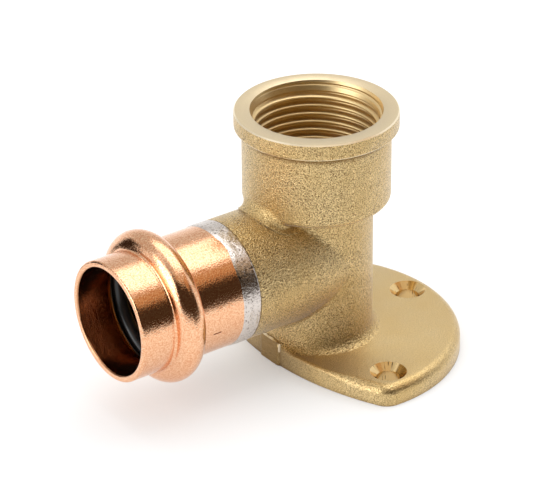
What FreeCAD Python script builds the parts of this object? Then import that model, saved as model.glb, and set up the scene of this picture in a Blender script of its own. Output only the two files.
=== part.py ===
"""Wall plate elbow: a cast body with a threaded port, and a brazed-on copper press socket.

The origin is where the port's axis meets the back of the plate. Z points out of the wall
along the port, and the socket opens towards -X. Sizes are in millimetres.
"""

import FreeCAD
import Part

import math
import os

# The plate that is screwed to the wall: two arcs meeting in rounded corners.
PLATE_T = 4.2
PLATE_BACK_R = 30.0
PLATE_BACK_X = -0.4
PLATE_FRONT_R = 62.0
PLATE_FRONT_X = -12.1
PLATE_CORNER_R = 3.8
PLATE_EDGE_R = 2.05

# The three countersunk screw holes, at the back and on both sides, on one circle.
SCREW_MARGIN = 5.6
SCREW_PITCH_R = PLATE_BACK_X + PLATE_BACK_R - SCREW_MARGIN
SCREW_HOLE_R = 2.4
SCREW_HEAD_R = 3.75

# The ground-off gate of the casting, on the edge under the socket.
GATE_Y = -0.3
GATE_W = 7.0
GATE_H = 5.15
GATE_PROUD = 0.3
GATE_EDGE_R = 1.0

# The column that stands on the plate and carries the port.
COLUMN_R = 11.5
COLUMN_FOOT_R = 2.2
COLUMN_FOOT_LAP = 0.03
COLUMN_FOOT_SETBACK = 0.3

# The boss round the thread, hung from the body's top, with its reinforcing rim.
BODY_TOP_Z = 53.5
BOSS_R = 15.05
BOSS_H = 19.5
BOSS_BOTTOM_Z = BODY_TOP_Z - BOSS_H
BOSS_EDGE_R = 1.4
BOSS_NECK_R = 1.2
BOSS_NECK_LAP = 0.02
RIM_R = 16.6
RIM_H = 2.8
RIM_UNDER_R = 0.45
RIM_FOOT_R = 0.7
RIM_CHAMFER = 0.25

# The port's pipe thread, drawn as level rings, with a lead-in and a run-out to the waterway.
THREAD_R = 12.06
THREAD_ROOT_R = 13.22
THREAD_PITCH = 1.814
THREAD_FLAT = 0.302
THREAD_L = 17.0
THREAD_START = 0.73
THREAD_MOUTH_R = 13.37
THREAD_RUNOUT = 2.2
WATERWAY_R = 9.5

# The stub towards the socket: straight, then easing down to the column.
PIPE_Z = 22.1
STUB_R = 12.6
STUB_END_X = -23.0
STUB_EASE_X = -12.0
STUB_INSIDE_X = 2.5
STUB_MEET = 0.05
STUB_BLEND_R = 2.0

# The spigot in the socket's widened end, whose face stops the tube.
SPIGOT_R = 11.4
SPIGOT_L = 3.9
SPIGOT_GAP = 0.05

# The copper socket, rolled with a bead that holds the sealing ring.
SOCKET_BORE_R = 11.12
SOCKET_WALL = 1.36
SOCKET_L = 27.9
SOCKET_LIP_R = 0.4
BEAD_R = 15.73
BEAD_SECTION_R = 3.1
BEAD_CREASE_R = 0.5
BEAD_FROM_MOUTH = 10.7

# The sealing ring sits against the groove and stands a little into the bore.
RING_PROUD = 0.02

# The braze that ran out over the socket's end.
BRAZE_L = 4.3
BRAZE_T = 0.2
BRAZE_FEATHER = 0.8

PIPE_CENTRE = FreeCAD.Vector(0, 0, PIPE_Z)
ALONG_X = FreeCAD.Vector(1, 0, 0)
ALONG_Z = FreeCAD.Vector(0, 0, 1)


def on_port(radius, height):
    """Return a profile point for a shape turned about the port's axis."""
    return FreeCAD.Vector(radius, 0, height)


def on_pipe(x, radius):
    """Return a profile point for a shape turned about the socket's axis."""
    return FreeCAD.Vector(x, 0, PIPE_Z + radius)


def around(centre, radius, degrees):
    """Return the point of a profile circle at an angle, measured from +X towards +Z."""
    turn = math.radians(degrees)
    return centre + FreeCAD.Vector(radius * math.cos(turn), 0, radius * math.sin(turn))


def outline(start, *steps):
    """Return a closed face. A step is an end point, or a point on an arc and its end."""
    edges = []
    here = start
    for step in steps:
        if isinstance(step, tuple):
            via, end = step
            edges.append(Part.Arc(here, via, end).toShape())
        else:
            end = step
            edges.append(Part.LineSegment(here, end).toShape())
        here = end
    edges.append(Part.LineSegment(here, start).toShape())
    return Part.Face(Part.Wire(edges))


def turned(face, centre, axis):
    """Return the solid that a profile sweeps in one full turn."""
    return face.revolve(centre, axis, 360)


def plate_outline(height, setback):
    """Return the plate's outline, set back by a given distance, as a block of a given height."""
    back_centre = FreeCAD.Vector(PLATE_BACK_X, 0, 0)
    front_centre = FreeCAD.Vector(PLATE_FRONT_X + PLATE_FRONT_R, 0, 0)
    back = Part.makeCylinder(PLATE_BACK_R - setback, height, back_centre)
    block = back.common(Part.makeCylinder(PLATE_FRONT_R - setback, height, front_centre))
    corners = []
    for edge in block.Edges:
        middle = edge.CenterOfMass
        if len(edge.Vertexes) == 2 and abs(middle.z - height / 2) < 0.01 and abs(middle.y) > BOSS_R:
            corners.append(edge)
    return block.makeFillet(PLATE_CORNER_R - setback, corners)


def screw_places():
    """Return the centres of the screw holes at the plate's back."""
    return [
        FreeCAD.Vector(SCREW_PITCH_R, 0, 0),
        FreeCAD.Vector(0, -SCREW_PITCH_R, 0),
        FreeCAD.Vector(0, SCREW_PITCH_R, 0),
    ]


def plate():
    """Return the plate, rounded along its upper edge."""
    block = plate_outline(PLATE_T, 0)
    upper = [edge for edge in block.Edges if edge.BoundBox.ZMin > PLATE_T / 2]
    return block.makeFillet(PLATE_EDGE_R, upper)


def clear_of_plate():
    """Return the space beside the plate's edge, where the column's foot is cut off."""
    height = PLATE_T + COLUMN_FOOT_R
    side = 4 * PLATE_BACK_R
    corner = FreeCAD.Vector(-side / 2, -side / 2, 0)
    foot_limit = plate_outline(height, COLUMN_FOOT_SETBACK)
    return Part.makeBox(side, side, height, corner).cut(foot_limit)


def gate_mark():
    """Return the ground stump of the casting's gate."""
    front = PLATE_FRONT_X - GATE_PROUD
    length = COLUMN_R / 2 - front
    corner = FreeCAD.Vector(front, GATE_Y - GATE_W / 2, 0)
    stump = Part.makeBox(length, GATE_W, GATE_H, corner)
    rounded = []
    for edge in stump.Edges:
        middle = edge.CenterOfMass
        if middle.x < front + length / 4 and edge.BoundBox.ZLength > GATE_H / 2:
            rounded.append(edge)
    return stump.makeFillet(GATE_EDGE_R, rounded)


def elbow_skin():
    """Return the column on its foot joined to the stub, with the cast blend between them."""
    foot_r = COLUMN_R + COLUMN_FOOT_R
    foot_z = PLATE_T + COLUMN_FOOT_R - COLUMN_FOOT_LAP
    column_top = BOSS_BOTTOM_Z + BOSS_H / 2
    column = outline(
        on_port(0, 0),
        on_port(foot_r, 0),
        on_port(foot_r, foot_z - COLUMN_FOOT_R),
        (around(on_port(foot_r, foot_z), COLUMN_FOOT_R, 225), on_port(COLUMN_R, foot_z)),
        on_port(COLUMN_R, column_top),
        on_port(0, column_top),
    )
    drop = STUB_R - COLUMN_R + STUB_MEET
    ease_r = (STUB_EASE_X**2 + drop**2) / (2 * drop)
    ease = on_pipe(STUB_EASE_X, STUB_R - ease_r)
    to_end = math.degrees(math.acos((STUB_INSIDE_X - STUB_EASE_X) / ease_r))
    stub = outline(
        on_pipe(STUB_END_X, 0),
        on_pipe(STUB_END_X, STUB_R),
        on_pipe(STUB_EASE_X, STUB_R),
        (around(ease, ease_r, (90 + to_end) / 2), around(ease, ease_r, to_end)),
        on_pipe(STUB_INSIDE_X, 0),
    )
    skin = turned(column, FreeCAD.Vector(0, 0, 0), ALONG_Z)
    skin = skin.fuse(turned(stub, PIPE_CENTRE, ALONG_X)).removeSplitter()
    crease = []
    for edge in skin.Edges:
        box = edge.BoundBox
        if min(box.XLength, box.YLength, box.ZLength) > COLUMN_R / 2:
            crease.append(edge)
    return skin.makeFillet(STUB_BLEND_R, crease)


def boss_skin():
    """Return the boss with its rim, and with the neck that laps into the column."""
    rim_z = BODY_TOP_Z - RIM_H - RIM_UNDER_R
    neck_z = BOSS_BOTTOM_Z - BOSS_NECK_R
    neck_r = COLUMN_R - BOSS_NECK_LAP
    face = outline(
        on_port(0, neck_z),
        on_port(neck_r, neck_z),
        (
            around(on_port(neck_r + BOSS_NECK_R, neck_z), BOSS_NECK_R, 135),
            on_port(neck_r + BOSS_NECK_R, BOSS_BOTTOM_Z),
        ),
        on_port(BOSS_R - BOSS_EDGE_R, BOSS_BOTTOM_Z),
        (
            around(on_port(BOSS_R - BOSS_EDGE_R, BOSS_BOTTOM_Z + BOSS_EDGE_R), BOSS_EDGE_R, -45),
            on_port(BOSS_R, BOSS_BOTTOM_Z + BOSS_EDGE_R),
        ),
        on_port(BOSS_R, rim_z - RIM_FOOT_R),
        (
            around(on_port(BOSS_R + RIM_FOOT_R, rim_z - RIM_FOOT_R), RIM_FOOT_R, 135),
            on_port(BOSS_R + RIM_FOOT_R, rim_z),
        ),
        on_port(RIM_R - RIM_UNDER_R, rim_z),
        (
            around(on_port(RIM_R - RIM_UNDER_R, rim_z + RIM_UNDER_R), RIM_UNDER_R, -45),
            on_port(RIM_R, rim_z + RIM_UNDER_R),
        ),
        on_port(RIM_R, BODY_TOP_Z - RIM_CHAMFER),
        on_port(RIM_R - RIM_CHAMFER, BODY_TOP_Z),
        on_port(0, BODY_TOP_Z),
    )
    return turned(face, FreeCAD.Vector(0, 0, 0), ALONG_Z)


def thread_grooves():
    """Return the thread's grooves as rings, from the one in the lead-in to the last full one."""
    slope = (THREAD_PITCH / 2 - THREAD_FLAT) / (THREAD_ROOT_R - THREAD_R)
    inner_r = (THREAD_R + WATERWAY_R) / 2
    open_half = THREAD_FLAT / 2 + slope * (THREAD_ROOT_R - inner_r)
    count = 1 + int((THREAD_L - THREAD_START - THREAD_PITCH / 2) / THREAD_PITCH)
    grooves = []
    for number in range(count):
        middle = BODY_TOP_Z - THREAD_START - number * THREAD_PITCH
        face = outline(
            on_port(inner_r, middle - open_half),
            on_port(THREAD_ROOT_R, middle - THREAD_FLAT / 2),
            on_port(THREAD_ROOT_R, middle + THREAD_FLAT / 2),
            on_port(inner_r, middle + open_half),
        )
        grooves.append(turned(face, FreeCAD.Vector(0, 0, 0), ALONG_Z))
    return grooves


def port_hollow():
    """Return the space of the thread's crests and the waterway below, down to the elbow."""
    mouth = THREAD_MOUTH_R - THREAD_R
    thread_end = BODY_TOP_Z - THREAD_L
    face = outline(
        on_port(0, PIPE_Z),
        on_port(WATERWAY_R, PIPE_Z),
        on_port(WATERWAY_R, thread_end - THREAD_RUNOUT),
        on_port(THREAD_R, thread_end),
        on_port(THREAD_R, BODY_TOP_Z - mouth),
        on_port(THREAD_MOUTH_R, BODY_TOP_Z),
        on_port(0, BODY_TOP_Z),
    )
    return turned(face, FreeCAD.Vector(0, 0, 0), ALONG_Z)


def cast_body():
    """Return the casting: plate, column, boss, stub and spigot, with everything bored out."""
    spigot_end = STUB_END_X - SPIGOT_L
    spigot_base = FreeCAD.Vector(spigot_end, 0, PIPE_Z)
    spigot = Part.makeCylinder(SPIGOT_R, SPIGOT_L - STUB_EASE_X / 2, spigot_base, ALONG_X)
    body = elbow_skin().fuse([boss_skin(), spigot])
    body = body.cut(clear_of_plate()).fuse(plate()).fuse(gate_mark())
    bend = Part.makeSphere(WATERWAY_R, PIPE_CENTRE)
    pipe_hollow = Part.makeCylinder(WATERWAY_R, -spigot_end, spigot_base, ALONG_X)
    body = body.cut([port_hollow().fuse([bend, pipe_hollow])])
    for groove in thread_grooves():
        body = body.cut(groove)
    for place in screw_places():
        hole = Part.makeCylinder(SCREW_HOLE_R, PLATE_T, place)
        sink = SCREW_HEAD_R - SCREW_HOLE_R
        head = Part.makeCone(SCREW_HOLE_R, SCREW_HEAD_R, sink, place + ALONG_Z * (PLATE_T - sink))
        body = body.cut(hole.fuse(head))
    return body.removeSplitter()


def bead_parts():
    """Return the bead's centre, and the centre and tangent angle of its rear crease."""
    mouth_x = STUB_END_X - SOCKET_L
    bead = on_pipe(mouth_x + BEAD_FROM_MOUTH, BEAD_R - BEAD_SECTION_R)
    crease_r = SOCKET_BORE_R + SOCKET_WALL + BEAD_CREASE_R
    rise = crease_r - (BEAD_R - BEAD_SECTION_R)
    reach = math.sqrt((BEAD_SECTION_R + BEAD_CREASE_R) ** 2 - rise**2)
    crease = on_pipe(mouth_x + BEAD_FROM_MOUTH + reach, crease_r)
    return bead, crease, math.degrees(math.atan2(rise, reach))


def rolled_bead(offset):
    """Return the bead's path from rear to front, a given depth inside its outer face."""
    bead, crease, tangent = bead_parts()
    across = FreeCAD.Vector(2 * (bead.x - crease.x), 0, 0)
    crease_r = BEAD_CREASE_R + offset
    section_r = BEAD_SECTION_R - offset
    low = (tangent + 90) / 2
    return [
        around(crease, crease_r, 270),
        (around(crease, crease_r, 180 + low), around(crease, crease_r, 180 + tangent)),
        (around(bead, section_r, 90), around(bead, section_r, 180 - tangent)),
        (
            around(crease + across, crease_r, -low),
            around(crease + across, crease_r, 270),
        ),
    ]


def press_socket():
    """Return the copper socket, with its bead rolled at an even wall."""
    outer_r = SOCKET_BORE_R + SOCKET_WALL
    mouth_x = STUB_END_X - SOCKET_L
    lip = SOCKET_LIP_R
    outside = outline(
        on_pipe(STUB_END_X, 0),
        on_pipe(STUB_END_X, outer_r),
        *rolled_bead(0),
        on_pipe(mouth_x + lip, outer_r),
        (around(on_pipe(mouth_x + lip, outer_r - lip), lip, 135), on_pipe(mouth_x, outer_r - lip)),
        on_pipe(mouth_x, 0),
    )
    inside = outline(
        on_pipe(STUB_END_X, 0),
        on_pipe(STUB_END_X, SPIGOT_R + SPIGOT_GAP),
        on_pipe(STUB_END_X - SPIGOT_L, SPIGOT_R + SPIGOT_GAP),
        on_pipe(STUB_END_X - SPIGOT_L, SOCKET_BORE_R),
        *rolled_bead(SOCKET_WALL),
        on_pipe(mouth_x + lip, SOCKET_BORE_R),
        (
            around(on_pipe(mouth_x + lip, SOCKET_BORE_R + lip), lip, 225),
            on_pipe(mouth_x, SOCKET_BORE_R + lip),
        ),
        on_pipe(mouth_x, 0),
    )
    outer = turned(outside, PIPE_CENTRE, ALONG_X)
    return outer.cut(turned(inside, PIPE_CENTRE, ALONG_X))


def sealing_ring():
    """Return the rubber ring that fills the bead's groove."""
    groove_r = BEAD_R - SOCKET_WALL
    inner_r = SOCKET_BORE_R - RING_PROUD
    section_r = (groove_r - inner_r) / 2
    centre_x = STUB_END_X - SOCKET_L + BEAD_FROM_MOUTH
    centre = FreeCAD.Vector(centre_x, 0, PIPE_Z)
    return Part.makeTorus(inner_r + section_r, section_r, centre, ALONG_X)


def braze_band():
    """Return the thin collar of braze, feathered out over the copper."""
    inner_r = SOCKET_BORE_R + SOCKET_WALL
    front = STUB_END_X - BRAZE_L
    face = outline(
        on_pipe(front, inner_r),
        on_pipe(STUB_END_X, inner_r),
        on_pipe(STUB_END_X, inner_r + BRAZE_T),
        on_pipe(front + BRAZE_FEATHER, inner_r + BRAZE_T),
    )
    return turned(face, PIPE_CENTRE, ALONG_X)


os.makedirs("parts", exist_ok=True)
cast_body().exportStep("parts/cast_body.step")
press_socket().exportStep("parts/press_socket.step")
braze_band().exportStep("parts/braze_band.step")
sealing_ring().exportStep("parts/sealing_ring.step")
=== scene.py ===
"""Dresses the wall plate elbow: its finishes, cut thread, flowed braze, studio and camera.

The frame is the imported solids, in metres. Sizes in this file are in millimetres and are
turned to metres where a mesh or a node takes them.
"""

import logging
import math
from dataclasses import dataclass
from enum import Enum
from typing import Any

import bmesh
import bpy
import numpy as np
from mathutils import Matrix, Vector, noise


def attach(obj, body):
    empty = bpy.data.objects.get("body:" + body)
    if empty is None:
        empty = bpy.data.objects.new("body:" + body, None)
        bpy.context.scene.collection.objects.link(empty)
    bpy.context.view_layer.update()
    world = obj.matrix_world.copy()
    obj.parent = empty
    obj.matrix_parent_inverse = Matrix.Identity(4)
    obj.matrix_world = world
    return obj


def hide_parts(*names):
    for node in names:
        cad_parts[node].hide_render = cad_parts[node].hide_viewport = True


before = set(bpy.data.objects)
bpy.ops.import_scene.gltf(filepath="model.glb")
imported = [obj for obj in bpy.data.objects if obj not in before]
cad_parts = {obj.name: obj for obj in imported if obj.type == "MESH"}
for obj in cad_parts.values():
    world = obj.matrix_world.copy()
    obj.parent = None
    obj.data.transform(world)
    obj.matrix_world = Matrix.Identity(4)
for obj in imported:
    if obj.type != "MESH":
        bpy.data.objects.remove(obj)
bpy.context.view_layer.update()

MM = 0.001
PIPE_Z = 22.1
PLATE_T = 4.2
GATE_X = -12.4
GATE_Y = -0.3
GATE_H = 5.15
# The watts that make a square metre of an area lamp as bright as a white wall.
LAMP_WATTS = 4.0
# The radians that the wave texture turns through in one unit of its scale.
WAVE_RATE = 20.0
# The mix node's colour sockets, which share their names with its other sockets.
MIX_A, MIX_B, MIXED = 6, 7, 2
# The angles in degrees that keep every edge of a mesh soft, or sharp.
SOFT, FACETED = 180.0, 0.0

Number = float | np.ndarray
Point = tuple[float, float, float]
Face = tuple[int, ...]
Settings = dict[Any, Any]
Tree = bpy.types.NodeTree
Socket = bpy.types.NodeSocket

log = logging.getLogger("wall_plate_elbow")


class Slot(Enum):
    """The record's material slots, named when a new piece is added."""

    CAST_BRASS = "cast_brass"
    BRAZE = "braze"


class BodyZone(Enum):
    """The differently finished zones of the casting, in the order of their material slots."""

    SKIN = 0
    FACED_RIM = 1
    THREAD = 2
    WATERWAY = 3
    GATE = 4
    BACK_SINK = 5
    NEAR_SINK = 6
    FAR_SINK = 7
    RIM_EDGE = 8
    LEAD_IN = 9


def linear(code: str) -> tuple[float, float, float, float]:
    """Turns an sRGB hex value into a linear colour.

    Args:
        code: The colour as "#RRGGBB".

    Returns:
        Red, green, blue and an alpha of one.
    """
    channels = [int(code[start:start + 2], 16) / 255 for start in (1, 3, 5)]
    curve = [c / 12.92 if c <= 0.04045 else ((c + 0.055) / 1.055) ** 2.4 for c in channels]
    return curve[0], curve[1], curve[2], 1.0


def per_metre(size_mm: float) -> float:
    """Returns the texture scale whose cells are a given size in millimetres."""
    return 1 / (size_mm * MM)


def ring_scale(spacing_mm: float) -> float:
    """Returns the wave texture's scale for lines a given spacing in millimetres apart."""
    return math.tau / (WAVE_RATE * spacing_mm * MM)


def held(value: float) -> float:
    """Returns a value held between nought and one."""
    return min(max(value, 0.0), 1.0)


def eased(share: Number) -> Number:
    """Returns a share, or an array of them, with a soft start and a soft end."""
    return share * share * (3 - 2 * share)


def start_material(name: str) -> bpy.types.Material:
    """Makes an empty node material.

    Args:
        name: The material's name.

    Returns:
        The material.
    """
    material = bpy.data.materials.new(name)
    material.use_nodes = True
    material.node_tree.nodes.clear()
    return material


def add_node(
    tree: Tree, kind: str, settings: Settings | None = None, out: int | str = 0
) -> Socket | None:
    """Adds one node with its settings and its incoming links.

    Args:
        tree: The node tree that takes it.
        kind: Blender's name for the node, without "ShaderNode".
        settings: Values by property name, or values and sockets to link by input name or number.
        out: The name or number of the output to hand on.

    Returns:
        That output, or nothing from a node without outputs.
    """
    node = tree.nodes.new(f"ShaderNode{kind}")
    for name, value in (settings or {}).items():
        if isinstance(value, Socket):
            tree.links.new(value, node.inputs[name])
        elif isinstance(name, str) and hasattr(node, name):
            setattr(node, name, value)
        else:
            node.inputs[name].default_value = value
    return node.outputs[out] if node.outputs else None


def ring_faces(rings: int, spokes: int, closed: bool = False) -> list[Face]:
    """Joins rings of points into a tube of quads.

    Args:
        rings: How many rings there are.
        spokes: How many points each ring has.
        closed: Whether the last ring is joined to the first.

    Returns:
        The faces, ring by ring.
    """
    faces = []
    for ring in range(rings if closed else rings - 1):
        low, high = ring * spokes, (ring + 1) % rings * spokes
        for spoke in range(spokes):
            after = (spoke + 1) % spokes
            faces.append((low + spoke, low + after, high + after, high + spoke))
    return faces


def bar_faces(sections: int, corners: int) -> list[Face]:
    """Joins sections of points into a bar with closed ends.

    Args:
        sections: How many sections there are.
        corners: How many points each section has.

    Returns:
        The faces along the bar, then its two ends.
    """
    last = (sections - 1) * corners
    ends = [tuple(range(start, start + corners)) for start in (0, last)]
    return ring_faces(sections, corners) + ends


def closed_mesh(name: str, points: list[Point], faces: list[Face], sharp: float) -> bpy.types.Mesh:
    """Makes a closed mesh that faces outwards.

    Args:
        name: The mesh's name.
        points: Its points, in millimetres.
        faces: Its faces, in any direction.
        sharp: The angle in degrees above which an edge stays sharp.

    Returns:
        The mesh, in the frame's metres and without a material.
    """
    mesh = bpy.data.meshes.new(name)
    mesh.from_pydata([(x * MM, y * MM, z * MM) for x, y, z in points], [], faces)
    shape = bmesh.new()
    shape.from_mesh(mesh)
    bmesh.ops.recalc_face_normals(shape, faces=shape.faces)
    shape.to_mesh(mesh)
    shape.free()
    mesh.shade_smooth()
    mesh.set_sharp_from_angle(angle=math.radians(sharp))
    return mesh


def show(name: str, data: bpy.types.ID) -> bpy.types.Object:
    """Puts a mesh, a lamp or a camera into the scene.

    Args:
        name: The new object's name.
        data: What it shows.

    Returns:
        The object.
    """
    thing = bpy.data.objects.new(name, data)
    bpy.context.scene.collection.objects.link(thing)
    return thing


def add_piece(mesh: bpy.types.Mesh, slot: Slot, *stands_for: str) -> bpy.types.Object:
    """Puts a mesh into the scene as a piece of the object, under the mesh's name.

    Args:
        mesh: The piece's mesh, in the frame's metres.
        slot: The record's slot for the piece; not used.
        *stands_for: The solids that it is shown for.

    Returns:
        The new object, riding on the one body.
    """
    piece = show(mesh.name, mesh)
    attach(piece, "root")
    if stands_for:
        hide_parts(*stands_for)
    return piece


@dataclass(frozen=True)
class Finish:
    """A metal or rubber with its surface. Each finish below says what the eye sees of it."""

    name: str

    def material(self) -> bpy.types.Material:
        """Makes the finish's material the first time that it is asked for.

        Returns:
            The material.
        """
        material = bpy.data.materials.get(self.name)
        if material is None:
            material = start_material(self.name)
            tree = material.node_tree
            place = add_node(tree, "TexCoord", None, "Object")
            shader = add_node(tree, "BsdfPrincipled", self.look(tree, place))
            add_node(tree, "OutputMaterial", {"Surface": shader})
        return material

    def look(self, tree: Tree, place: Socket) -> Settings:
        """Adds the nodes of the finish's pattern.

        Args:
            tree: The material's node tree.
            place: Where a point is, in the frame's metres.

        Returns:
            The settings and links of the shader.
        """
        raise NotImplementedError


@dataclass(frozen=True)
class ShotBlastedBrass(Finish):
    """Brass, sand cast and shot blasted.

    The shot leaves a skin of small dents, so the eye sees a matt pale gold full of fine dark
    and bright specks, with a faint dusty bloom at a low angle. Corners, a band under the rim
    and the plate's wall round the gate are darkened with painted shade. The top of the plate
    is dressed smoother than the rest.
    """

    name: str = "shot_blasted_cast_brass"
    crown: str = "#F6DBA2"
    dent: str = "#5E3F18"
    tint: str = "#CDAA68"
    # Painted shade: the colour that darkens corners, a band under the rim and the wall by the gate.
    corner: str = "#6A4A20"
    grain_mm: float = 0.2
    grain_share: float = 0.7
    speck_range: tuple[float, float] = (0.36, 0.58)
    dent_mm: float = 0.38
    relief_mm: float = 0.14
    cloud_mm: float = 9.0
    cloud_range: tuple[float, float] = (0.35, 0.75)
    cloud_share: float = 0.5
    rough_low: float = 0.3
    rough_high: float = 0.46
    bloom: float = 0.28
    bloom_rough: float = 0.4
    painted_corner_shade_reach_mm: float = 1.3
    painted_corner_shade_range: tuple[float, float] = (0.85, 0.4)
    painted_corner_shade_share: float = 0.6
    painted_rim_shade_mm: tuple[float, float] = (48.2, 49.3)
    painted_rim_shade_share: float = 0.75
    gate_mm: Point = (GATE_X, GATE_Y, 2.0)
    painted_gate_shade_mm: tuple[float, float] = (15.0, 3.0)
    painted_gate_shade_share: float = 0.6
    facing_range: tuple[float, float] = (0.9, 0.99)
    plate_fade_mm: tuple[float, float] = (0.12, 0.01)
    wall_relief: float = 0.5
    plate_relief: float = 0.2
    wall_calm: float = 0.35
    plate_calm: float = 0.15
    calm_speck: float = 0.66

    def look(self, tree: Tree, place: Socket) -> Settings:
        """Adds dents, specks, clouds and painted shade, calmer on the plate.

        Args:
            tree: The material's node tree.
            place: Where a point is, in the frame's metres.

        Returns:
            The settings and links of the shader.
        """
        grain = add_node(tree, "TexNoise", {
            "Vector": place, "Scale": per_metre(self.grain_mm), "Detail": 2.0, "Roughness": 0.6,
        })
        dents = add_node(tree, "TexVoronoi", {
            "feature": "SMOOTH_F1", "Vector": place, "Scale": per_metre(self.dent_mm),
            "Smoothness": 0.6,
        })
        clouds = add_node(tree, "TexNoise", {
            "Vector": place, "Scale": per_metre(self.cloud_mm), "Detail": 3.0,
        })
        height = add_node(tree, "Math", {
            "operation": "MULTIPLY_ADD", 0: grain, 1: self.grain_share, 2: dents,
        })
        level = add_node(tree, "SeparateXYZ", {0: place}, "Z")
        facing = add_node(tree, "SeparateXYZ", {0: place.node.outputs["Normal"]}, "Z")
        upward = add_node(tree, "MapRange", {
            "Value": facing, "From Min": self.facing_range[0], "From Max": self.facing_range[1],
        })
        low = add_node(tree, "MapRange", {
            "Value": level,
            "From Min": (PLATE_T + self.plate_fade_mm[0]) * MM,
            "From Max": (PLATE_T + self.plate_fade_mm[1]) * MM,
        })
        dressed = add_node(tree, "Math", {"operation": "MULTIPLY", 0: upward, 1: low})
        worn = add_node(tree, "Math", {
            "operation": "MULTIPLY_ADD", 0: low, 1: -self.wall_relief, 2: 1.0,
        })
        relief = add_node(tree, "Math", {
            "operation": "MULTIPLY_ADD", 0: dressed, 1: -self.plate_relief, 2: worn,
        })
        bump = add_node(tree, "Bump", {
            "Height": height, "Strength": relief, "Distance": self.relief_mm * MM,
        })
        speck = add_node(tree, "MapRange", {
            "Value": grain, "From Min": self.speck_range[0], "From Max": self.speck_range[1],
        })
        smoothed = add_node(tree, "Math", {"operation": "MULTIPLY", 0: low, 1: self.wall_calm})
        calm = add_node(tree, "Math", {
            "operation": "MULTIPLY_ADD", 0: dressed, 1: self.plate_calm, 2: smoothed,
        })
        even = add_node(tree, "Mix", {"data_type": "FLOAT", 0: calm, 2: speck, 3: self.calm_speck})
        colour = add_node(tree, "Mix", {
            "data_type": "RGBA", 0: even, MIX_A: linear(self.dent), MIX_B: linear(self.crown),
        }, MIXED)
        shade = add_node(tree, "MapRange", {
            "Value": clouds, "From Min": self.cloud_range[0], "From Max": self.cloud_range[1],
            "To Max": self.cloud_share,
        })
        clouded = add_node(tree, "Mix", {
            "data_type": "RGBA", 0: shade, MIX_A: colour, MIX_B: linear(self.tint),
        }, MIXED)
        wall = add_node(tree, "Math", {"operation": "SUBTRACT", 0: low, 1: dressed})
        # Mixes the painted shade into the skin's colour.
        with_painted_shade = add_node(tree, "Mix", {
            "data_type": "RGBA", 0: self.painted_shade(tree, place, level, wall), MIX_A: clouded,
            MIX_B: linear(self.corner),
        }, MIXED)
        gloss = add_node(tree, "MapRange", {
            "Value": grain, "To Min": self.rough_high, "To Max": self.rough_low,
        })
        return {
            "Base Color": with_painted_shade, "Metallic": 1.0, "Roughness": gloss, "Normal": bump,
            "Sheen Weight": self.bloom, "Sheen Roughness": self.bloom_rough,
        }

    def painted_shade(self, tree: Tree, place: Socket, level: Socket, wall: Socket) -> Socket:
        """Finds how much painted shade darkens the skin: in corners, under the rim, by the gate.

        Args:
            tree: The material's node tree.
            place: Where a point is, in the frame's metres.
            level: Its height.
            wall: One on the plate's wall, and nought elsewhere.

        Returns:
            The share of painted shade.
        """
        # Painted shade in corners that the occlusion node finds, in a band under the rim, and on
        # the plate's wall round the gate.
        reach = {"samples": 4, "Distance": self.painted_corner_shade_reach_mm * MM}
        openness = add_node(tree, "AmbientOcclusion", reach, "AO")
        painted_corner_shade = add_node(tree, "MapRange", {
            "Value": openness, "From Min": self.painted_corner_shade_range[0], "From Max": self.painted_corner_shade_range[1],
            "To Max": self.painted_corner_shade_share,
        })
        start, end = (size * MM for size in self.painted_rim_shade_mm)
        painted_rim_shade = add_node(tree, "MapRange", {
            "Value": level, "From Min": start, "From Max": end, "To Max": self.painted_rim_shade_share,
        })
        on_boss = add_node(tree, "Math", {"operation": "LESS_THAN", 0: level, 1: end})
        painted_corner_and_rim_shade = add_node(tree, "Math", {
            "operation": "MULTIPLY_ADD", 0: painted_rim_shade, 1: on_boss, 2: painted_corner_shade,
        })
        gate = tuple(size * MM for size in self.gate_mm)
        from_gate = add_node(tree, "VectorMath", {
            "operation": "DISTANCE", 0: place, 1: gate,
        }, "Value")
        painted_gate_shade = add_node(tree, "MapRange", {
            "Value": from_gate, "From Min": self.painted_gate_shade_mm[0] * MM, "From Max": self.painted_gate_shade_mm[1] * MM,
            "To Max": self.painted_gate_shade_share,
        })
        return add_node(tree, "Math", {
            "operation": "MULTIPLY_ADD", "use_clamp": True, 0: painted_gate_shade, 1: wall, 2: painted_corner_and_rim_shade,
        })


@dataclass(frozen=True)
class TurnedBrass(Finish):
    """Brass, faced or bored on a lathe.

    The tool leaves fine rings about the port's axis, so the metal is bright and smooth with a
    soft sheen across the rings. They are drawn coarser than a real feed so that they show.
    """

    name: str = "turned_brass"
    metal: str = "#E4D3B3"
    groove: str = "#D3C09B"
    feed_mm: float = 0.32
    relief_mm: float = 0.004
    roughness: float = 0.42
    grain_mm: float = 0.25

    def look(self, tree: Tree, place: Socket) -> Settings:
        """Adds the tool's rings and a fine grain.

        Args:
            tree: The material's node tree.
            place: Where a point is, in the frame's metres.

        Returns:
            The settings and links of the shader.
        """
        rings = add_node(tree, "TexWave", {
            "wave_type": "RINGS", "rings_direction": "Z", "Vector": place,
            "Scale": ring_scale(self.feed_mm), "Distortion": 0.6, "Detail": 1.0,
        }, "Fac")
        grain = add_node(tree, "TexNoise", {
            "Vector": place, "Scale": per_metre(self.grain_mm), "Detail": 2.0,
        })
        height = add_node(tree, "Math", {"operation": "ADD", 0: rings, 1: grain})
        bump = add_node(tree, "Bump", {"Height": height, "Distance": self.relief_mm * MM})
        colour = add_node(tree, "Mix", {
            "data_type": "RGBA", 0: grain, MIX_A: linear(self.groove), MIX_B: linear(self.metal),
        }, MIXED)
        return {
            "Base Color": colour, "Metallic": 1.0, "Roughness": self.roughness, "Normal": bump,
        }


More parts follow.
